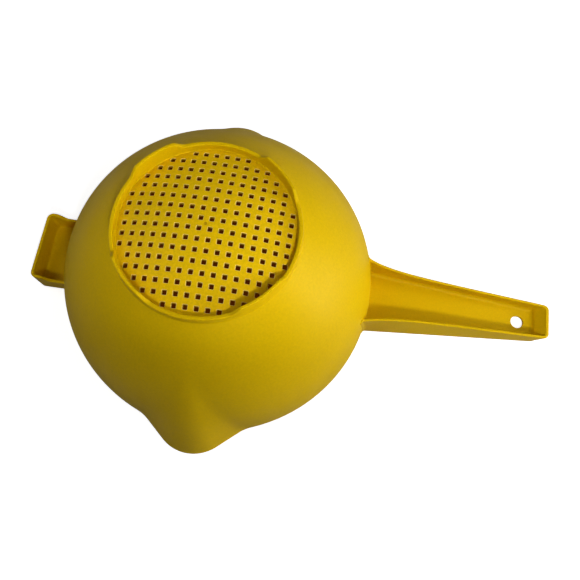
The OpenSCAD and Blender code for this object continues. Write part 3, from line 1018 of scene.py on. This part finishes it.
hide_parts("bowl_shell", "pour_lip_left", "pour_lip_right")
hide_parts("foot_ring", "foot_front_left", "foot_front_right", "foot_rear_left", "foot_rear_right")
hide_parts("sieve_plate")
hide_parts("handle_web", "handle_wall_left", "handle_wall_right", "handle_end_wall")
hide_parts("hook_web", "hook_wall_left", "hook_wall_right", "hook_end_wall")
for o in (wall, ring, plate, handle, hook):
    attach(o, "root")


# ------------------------------------------------------------------ camera
cam_data = bpy.data.cameras.new("camera")
cam_data.lens = 36.4508
cam_data.sensor_width = 36.0
cam_data.sensor_fit = "HORIZONTAL"
cam_data.clip_start = 0.01
cam_data.clip_end = 100.0
cam = bpy.data.objects.new("camera", cam_data)
bpy.context.scene.collection.objects.link(cam)
cam.location = (0.05833698, 0.12183141, -0.2845951)
cam.rotation_mode = "QUATERNION"
cam.rotation_quaternion = Quaternion((-0.15553946, 0.98503573, -0.07419454, 0.0026956))
bpy.context.scene.camera = cam


# ------------------------------------------------------------------ stage
# The part is photographed upside down, on its rim. So there are two floors: one on the rim plane for a camera
# that looks from below, and one under the feet for a camera that looks from above. A driver on the camera's
# height sends the one that isn't needed far away.
def floor_mat(name, glow, albedo=0.82, painted_shade_r=-1.0, inner=(0.0, 0.0, 0.0), bounce=0.3, far=None):
    """White paper. The camera sees it with some glow of its own; other rays see a darker sheet. Inside the radius
    painted_shade_r the paper is painted dark amber
    with a faint amber glow: painted shade and a painted glow for the dim inside of the bowl's closed hollow. Away from
    the object it rises to far."""
    m, nt = new_mat(name)
    L = nt.links
    out = node(nt, "ShaderNodeOutputMaterial", (700, 0))
    dif = node(nt, "ShaderNodeBsdfDiffuse", (0, 100))
    tc = node(nt, "ShaderNodeTexCoord", (-700, 0))
    em = node(nt, "ShaderNodeEmission", (0, -150))
    ln = node(nt, "ShaderNodeVectorMath", (-500, -250), operation="LENGTH")
    L.new(tc.outputs["Object"], ln.inputs[0])
    gm = node(nt, "ShaderNodeMapRange", (-300, -250))
    gm.inputs["From Min"].default_value = painted_shade_r
    gm.inputs["From Max"].default_value = painted_shade_r + 0.001
    L.new(ln.outputs["Value"], gm.inputs["Value"])
    # the glow is painted amber (inner) inside painted_shade_r: a painted glow for the bowl's dim hollow
    gc = node(nt, "ShaderNodeMix", (-150, -250), data_type="RGBA")
    for i in gc.inputs:
        if i.name == "A" and i.type == "RGBA":
            i.default_value = (*inner, 1)
        if i.name == "B" and i.type == "RGBA":
            i.default_value = (glow, glow, glow, 1)
    L.new(gm.outputs["Result"], gc.inputs["Factor"])
    shade = []
    # inside painted_shade_r the paper's own tone is painted dark amber: painted shade for the bowl's closed hollow
    for k, tone in enumerate((albedo, bounce)):
        sh = node(nt, "ShaderNodeMix", (-150, 500 + 200 * k), data_type="RGBA")
        for i in sh.inputs:
            if i.name == "A" and i.type == "RGBA":
                i.default_value = (0.05, 0.014, 0.002, 1)
            if i.name == "B" and i.type == "RGBA":
                i.default_value = (tone, tone, tone, 1)
        L.new(gm.outputs["Result"], sh.inputs["Factor"])
        shade.append([i for i in sh.outputs if i.type == "RGBA"][0])
    away = node(nt, "ShaderNodeMapRange", (-300, -450), interpolation_type="SMOOTHSTEP")
    away.inputs["From Min"].default_value = 0.3
    away.inputs["From Max"].default_value = 1.5
    L.new(ln.outputs["Value"], away.inputs["Value"])
    gf = node(nt, "ShaderNodeMix", (0, -350), data_type="RGBA")
    tone = glow if far is None else far
    for i in gf.inputs:
        if i.name == "B" and i.type == "RGBA":
            i.default_value = (tone, tone, tone, 1)
        if i.name == "A" and i.type == "RGBA":
            L.new([j for j in gc.outputs if j.type == "RGBA"][0], i)
    L.new(away.outputs["Result"], gf.inputs["Factor"])
    L.new([i for i in gf.outputs if i.type == "RGBA"][0], em.inputs["Color"])
    add = node(nt, "ShaderNodeAddShader", (250, -50))
    L.new(dif.outputs[0], add.inputs[0])
    L.new(em.outputs[0], add.inputs[1])
    lp = node(nt, "ShaderNodeLightPath", (0, 400))
    mx = node(nt, "ShaderNodeMixShader", (480, 0))
    L.new(lp.outputs["Is Camera Ray"], mx.inputs[0])
    soft = node(nt, "ShaderNodeBsdfDiffuse", (0, 250))
    L.new(shade[1], soft.inputs["Color"])
    L.new(shade[0], dif.inputs["Color"])
    L.new(soft.outputs[0], mx.inputs[1])
    L.new(add.outputs[0], mx.inputs[2])
    L.new(mx.outputs[0], out.inputs["Surface"])
    return m


def floor(name, z, mat, size=6.0):
    me = bpy.data.meshes.new(name)
    n = 64
    v = [(0, 0, 0)] + [(size * math.cos(2 * math.pi * k / n), size * math.sin(2 * math.pi * k / n), 0) for k in range(n)]
    f = [(0, 1 + k, 1 + (k + 1) % n) for k in range(n)]
    me.from_pydata(v, [], f)
    me.materials.append(mat)
    o = bpy.data.objects.new(name, me)
    bpy.context.scene.collection.objects.link(o)
    o.location = (0, 0, z)
    return o


def drive(obj, path, index, expr):
    d = obj.driver_add(path, index) if index is not None else obj.driver_add(path)
    d = d.driver
    d.type = "SCRIPTED"
    v = d.variables.new()
    v.name = "cz"
    v.type = "TRANSFORMS"
    v.targets[0].id = cam
    v.targets[0].transform_type = "LOC_Z"
    v.targets[0].transform_space = "WORLD_SPACE"
    d.expression = expr


# inside the rim this floor is painted dark amber with a faint glow: painted shade and glow that show through the holes
# as the bowl's dim inside
rim_floor = floor("stage_rim_floor", H * MM + 0.0003, floor_mat("stage_white_rim", 0.75, painted_shade_r=0.0995, inner=(0.055, 0.011, 0.0)))
foot_floor = floor("stage_foot_floor", -0.00005, floor_mat("stage_white_foot", 0.36, albedo=0.7, bounce=0.62, far=0.86))
drive(rim_floor, "location", 2, f"{H * MM + 0.0003:.6f} if cz < 0 else 60.0")
drive(foot_floor, "location", 2, "-60.0 if cz < 0 else -0.00005")

world = bpy.data.worlds.new("studio")
bpy.context.scene.world = world
world.use_nodes = True
bg = world.node_tree.nodes.get("Background")
bg.inputs["Color"].default_value = (1.0, 1.0, 1.0, 1)
bg.inputs["Strength"].default_value = 0.06
wt = world.node_tree
pale = wt.nodes.new("ShaderNodeBackground")
pale.inputs["Color"].default_value = (1.0, 1.0, 1.0, 1)
pale.inputs["Strength"].default_value = 0.86
seen = wt.nodes.new("ShaderNodeLightPath")
either = wt.nodes.new("ShaderNodeMixShader")
wt.links.new(seen.outputs["Is Camera Ray"], either.inputs[0])
wt.links.new(bg.outputs[0], either.inputs[1])
wt.links.new(pale.outputs[0], either.inputs[2])
wt.links.new(either.outputs[0], wt.nodes["World Output"].inputs["Surface"])


def area(name, direction, dist, size, power, target=(0.0, 0.0, 0.045), size_y=None):
    l = bpy.data.lights.new(name, "AREA")
    l.energy = power
    l.shape = "RECTANGLE" if size_y else "SQUARE"
    l.size = size
    if size_y:
        l.size_y = size_y
    o = bpy.data.objects.new(name, l)
    bpy.context.scene.collection.objects.link(o)
    d = Vector(direction).normalized()
    o.location = Vector(target) + d * dist
    o.rotation_mode = "QUATERNION"
    o.rotation_quaternion = (-d).to_track_quat("-Z", "Y")
    o.visible_camera = False
    return o


# for the view from below; the foot floor shades these when it is in place
def aim(azimuth, elevation):
    """Direction of a light from its azimuth and its angle towards -Z, in degrees."""
    a, e = math.radians(azimuth), math.radians(elevation)
    return (math.cos(a) * math.cos(e), math.sin(a) * math.cos(e), -math.sin(e))


area("key_below", aim(0, 9), 1.0, 0.45, 5.2)
area("key_high_below", aim(0, 28), 1.0, 0.5, 1.4)
area("top_right_below", aim(-10, 52), 1.0, 0.5, 1.7)
area("front_below", aim(62, 47), 1.0, 0.11, 5.0)
area("back_left_below", aim(184, 48), 1.0, 0.6, 2.0)


def flag(name, direction, dist, pts, through=0.0, target=(0.0, 0.0, 0.045)):
    """A dark gauze in front of one light; through is the part of the light it passes. pts are (across, down) in metres, seen along the light's beam."""
    d = Vector(direction).normalized()
    across = Vector((d.y, -d.x, 0.0)).normalized()
    down = across.cross(d)
    if down.y < 0:
        down = -down
    c = Vector(target) + d * dist
    me = bpy.data.meshes.new(name)
    me.from_pydata([tuple(c + across * u + down * v) for u, v in pts], [], [tuple(range(len(pts)))])
    m, nt = new_mat(name + "_black")
    out = node(nt, "ShaderNodeOutputMaterial", (300, 0))
    dif = node(nt, "ShaderNodeBsdfDiffuse", (0, 0))
    dif.inputs["Color"].default_value = (0.01, 0.01, 0.01, 1)
    clear = node(nt, "ShaderNodeBsdfTransparent", (0, -160))
    mix = node(nt, "ShaderNodeMixShader", (150, 0))
    mix.inputs[0].default_value = through
    nt.links.new(dif.outputs[0], mix.inputs[1])
    nt.links.new(clear.outputs[0], mix.inputs[2])
    nt.links.new(mix.outputs[0], out.inputs["Surface"])
    me.materials.append(m)
    o = bpy.data.objects.new(name, me)
    bpy.context.scene.collection.objects.link(o)
    o.visible_camera = False
    o.visible_glossy = False
    return o


# keeps the front light off the lower half of the bowl and off the hook
flag("stage_flag", aim(62, 47), 0.35, [(-0.15, -0.052), (0.055, 0.040), (0.055, 0.17), (-0.15, 0.17)], through=0.3)
# for views from above; the rim floor shades these when it is in place
area("key_above", (0.55, -0.75, 0.95), 1.3, 0.7, 15.0)
area("fill_above", (-0.8, 0.35, 0.6), 1.5, 1.0, 11.0)
area("dome_above", (0.0, 0.0, 1.0), 1.7, 1.6, 16.0)
area("low_right_above", (0.9, 0.6, 0.35), 1.6, 0.8, 7.0)

bpy.context.scene.view_settings.view_transform = "Standard"
bpy.context.scene.view_settings.look = "None"
